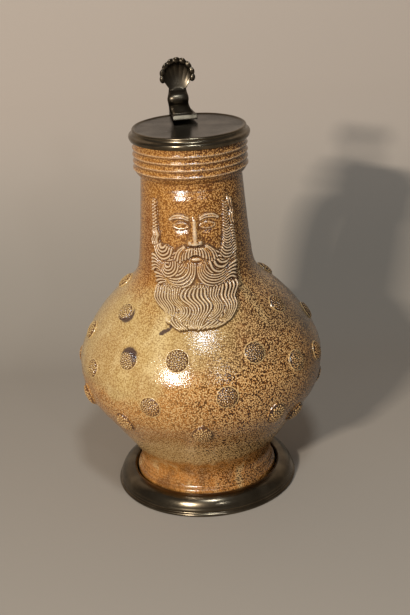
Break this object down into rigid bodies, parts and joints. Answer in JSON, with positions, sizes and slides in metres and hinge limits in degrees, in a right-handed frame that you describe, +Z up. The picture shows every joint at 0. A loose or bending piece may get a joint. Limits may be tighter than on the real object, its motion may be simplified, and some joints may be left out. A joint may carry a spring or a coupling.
{
  "type": "lidded stoneware jug",
  "caption": "Round-bellied salt-glazed stoneware jug with a ribbed collar, bearded mask, berry studs and strap handle, on a pewter foot ring, with a hinged pewter lid and scallop thumbpiece.",
  "frame": {"origin": "centre of the foot ring's underside, on the table that the jug stands on", "axes": "+Z up the jug's axis, -Y to the bearded mask, +Y to the handle and the lid's hinge"},
  "size_m": [0.1563, 0.1558, 0.2746],
  "materials": {
    "salt_glazed_stoneware": "glossy salt glaze, tan with brown speckle",
    "sprigged_relief": "glossy salt glaze, pale on the ridges and brown in the hollows",
    "pewter": "satin, dark old pewter"
  },
  "bodies": {
    "jug": {"stoneware_body": "salt_glazed_stoneware", "stoneware_handle": "salt_glazed_stoneware", "bearded_mask": "sprigged_relief", "stud_01": "sprigged_relief", "stud_02": "sprigged_relief", "stud_03": "sprigged_relief", "stud_04": "sprigged_relief", "stud_05": "sprigged_relief", "stud_06": "sprigged_relief", "stud_07": "sprigged_relief", "stud_08": "sprigged_relief", "stud_09": "sprigged_relief", "stud_10": "sprigged_relief", "stud_11": "sprigged_relief", "stud_12": "sprigged_relief", "stud_13": "sprigged_relief", "stud_14": "sprigged_relief", "stud_15": "sprigged_relief", "stud_16": "sprigged_relief", "stud_17": "sprigged_relief", "stud_18": "sprigged_relief", "stud_19": "sprigged_relief", "stud_20": "sprigged_relief", "stud_21": "sprigged_relief", "stud_22": "sprigged_relief", "stud_23": "sprigged_relief", "stud_24": "sprigged_relief", "stud_25": "sprigged_relief", "stud_26": "sprigged_relief", "stud_27": "sprigged_relief", "stud_28": "sprigged_relief", "stud_29": "sprigged_relief", "stud_30": "sprigged_relief", "stud_31": "sprigged_relief", "stud_32": "sprigged_relief", "foot_ring": "pewter", "handle_band": "pewter", "hinge_bracket": "pewter", "hinge_pin": "pewter"},
    "lid_assembly": {"lid": "pewter", "thumbpiece": "pewter"}
  },
  "joints": [
    {"name": "lid_hinge", "type": "hinge", "parent": "jug", "child": "lid_assembly", "pos_m": [-0.0064, 0.04454, 0.23], "axis": [-0.9898, -0.1423, 0], "range_deg": [0, 100]}
  ]
}
